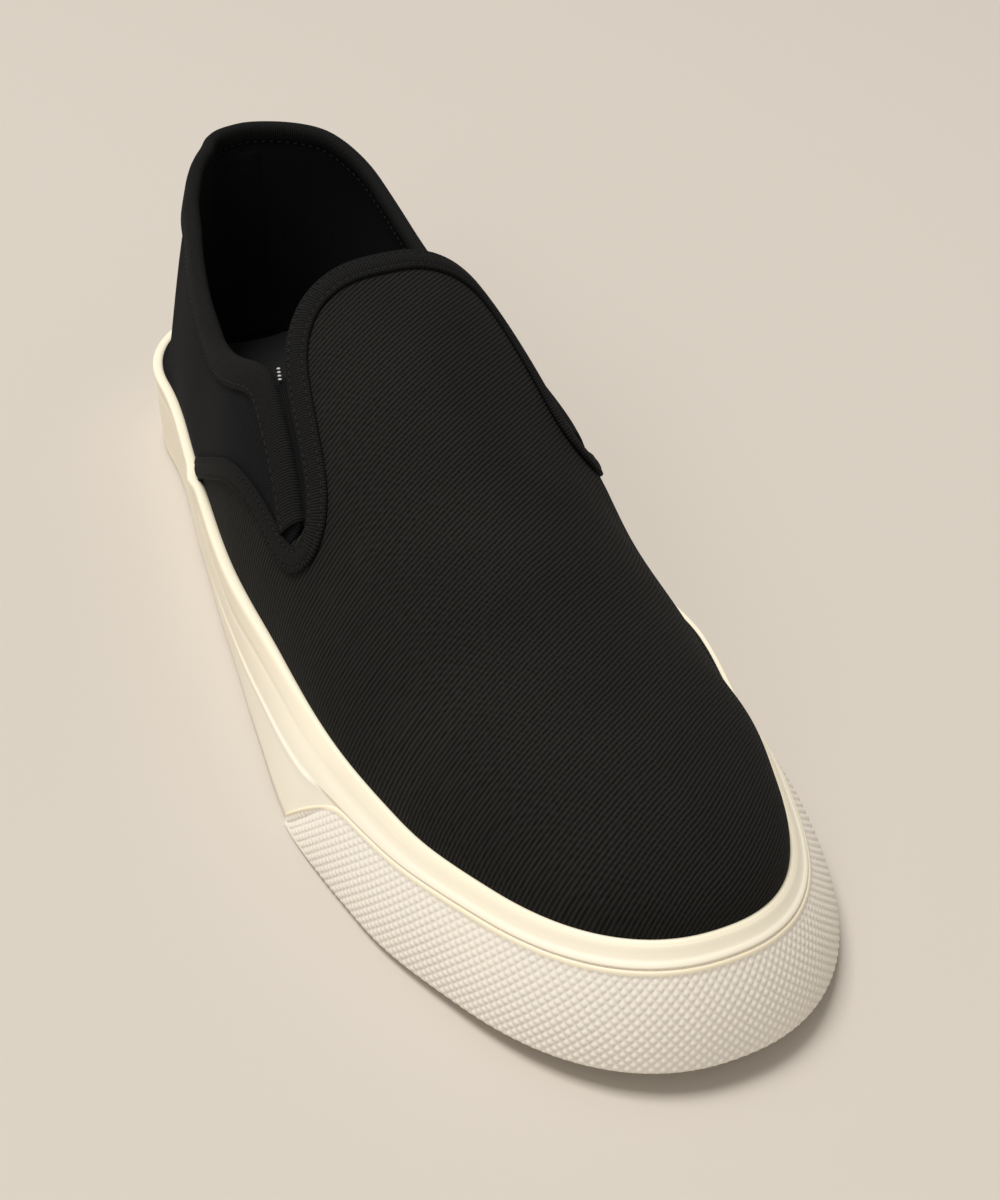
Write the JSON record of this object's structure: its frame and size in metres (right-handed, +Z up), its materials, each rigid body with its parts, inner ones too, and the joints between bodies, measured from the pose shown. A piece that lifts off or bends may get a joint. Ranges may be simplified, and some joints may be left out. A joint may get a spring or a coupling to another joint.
{
  "type": "slip-on canvas sneaker, right shoe",
  "caption": "Low slip-on shoe with a hollow cloth upper, elastic side gores, taped edges and a cream rubber sole with a wrapped side and a textured toe strip.",
  "frame": {"origin": "centre of the shoe's outline, on the floor that the sole stands on", "axes": "+X towards the toe, +Y towards the inner side of the foot, +Z up"},
  "size_m": [0.2978, 0.108, 0.0976],
  "materials": {
    "sole_rubber": "matt",
    "side_rubber": "matt with a faint sheen",
    "lining_cloth": "matt",
    "twill": "matt diagonal twill",
    "elastic": "matt ribbed",
    "tape": "matt fine rib"
  },
  "bodies": {
    "root": {"outsole": "sole_rubber", "foxing": "side_rubber", "toe_bumper": "side_rubber", "insole": "lining_cloth", "upper": "twill", "gore_lateral": "elastic", "gore_medial": "elastic", "collar_binding": "tape", "vamp_binding": "tape"}
  },
  "joints": []
}
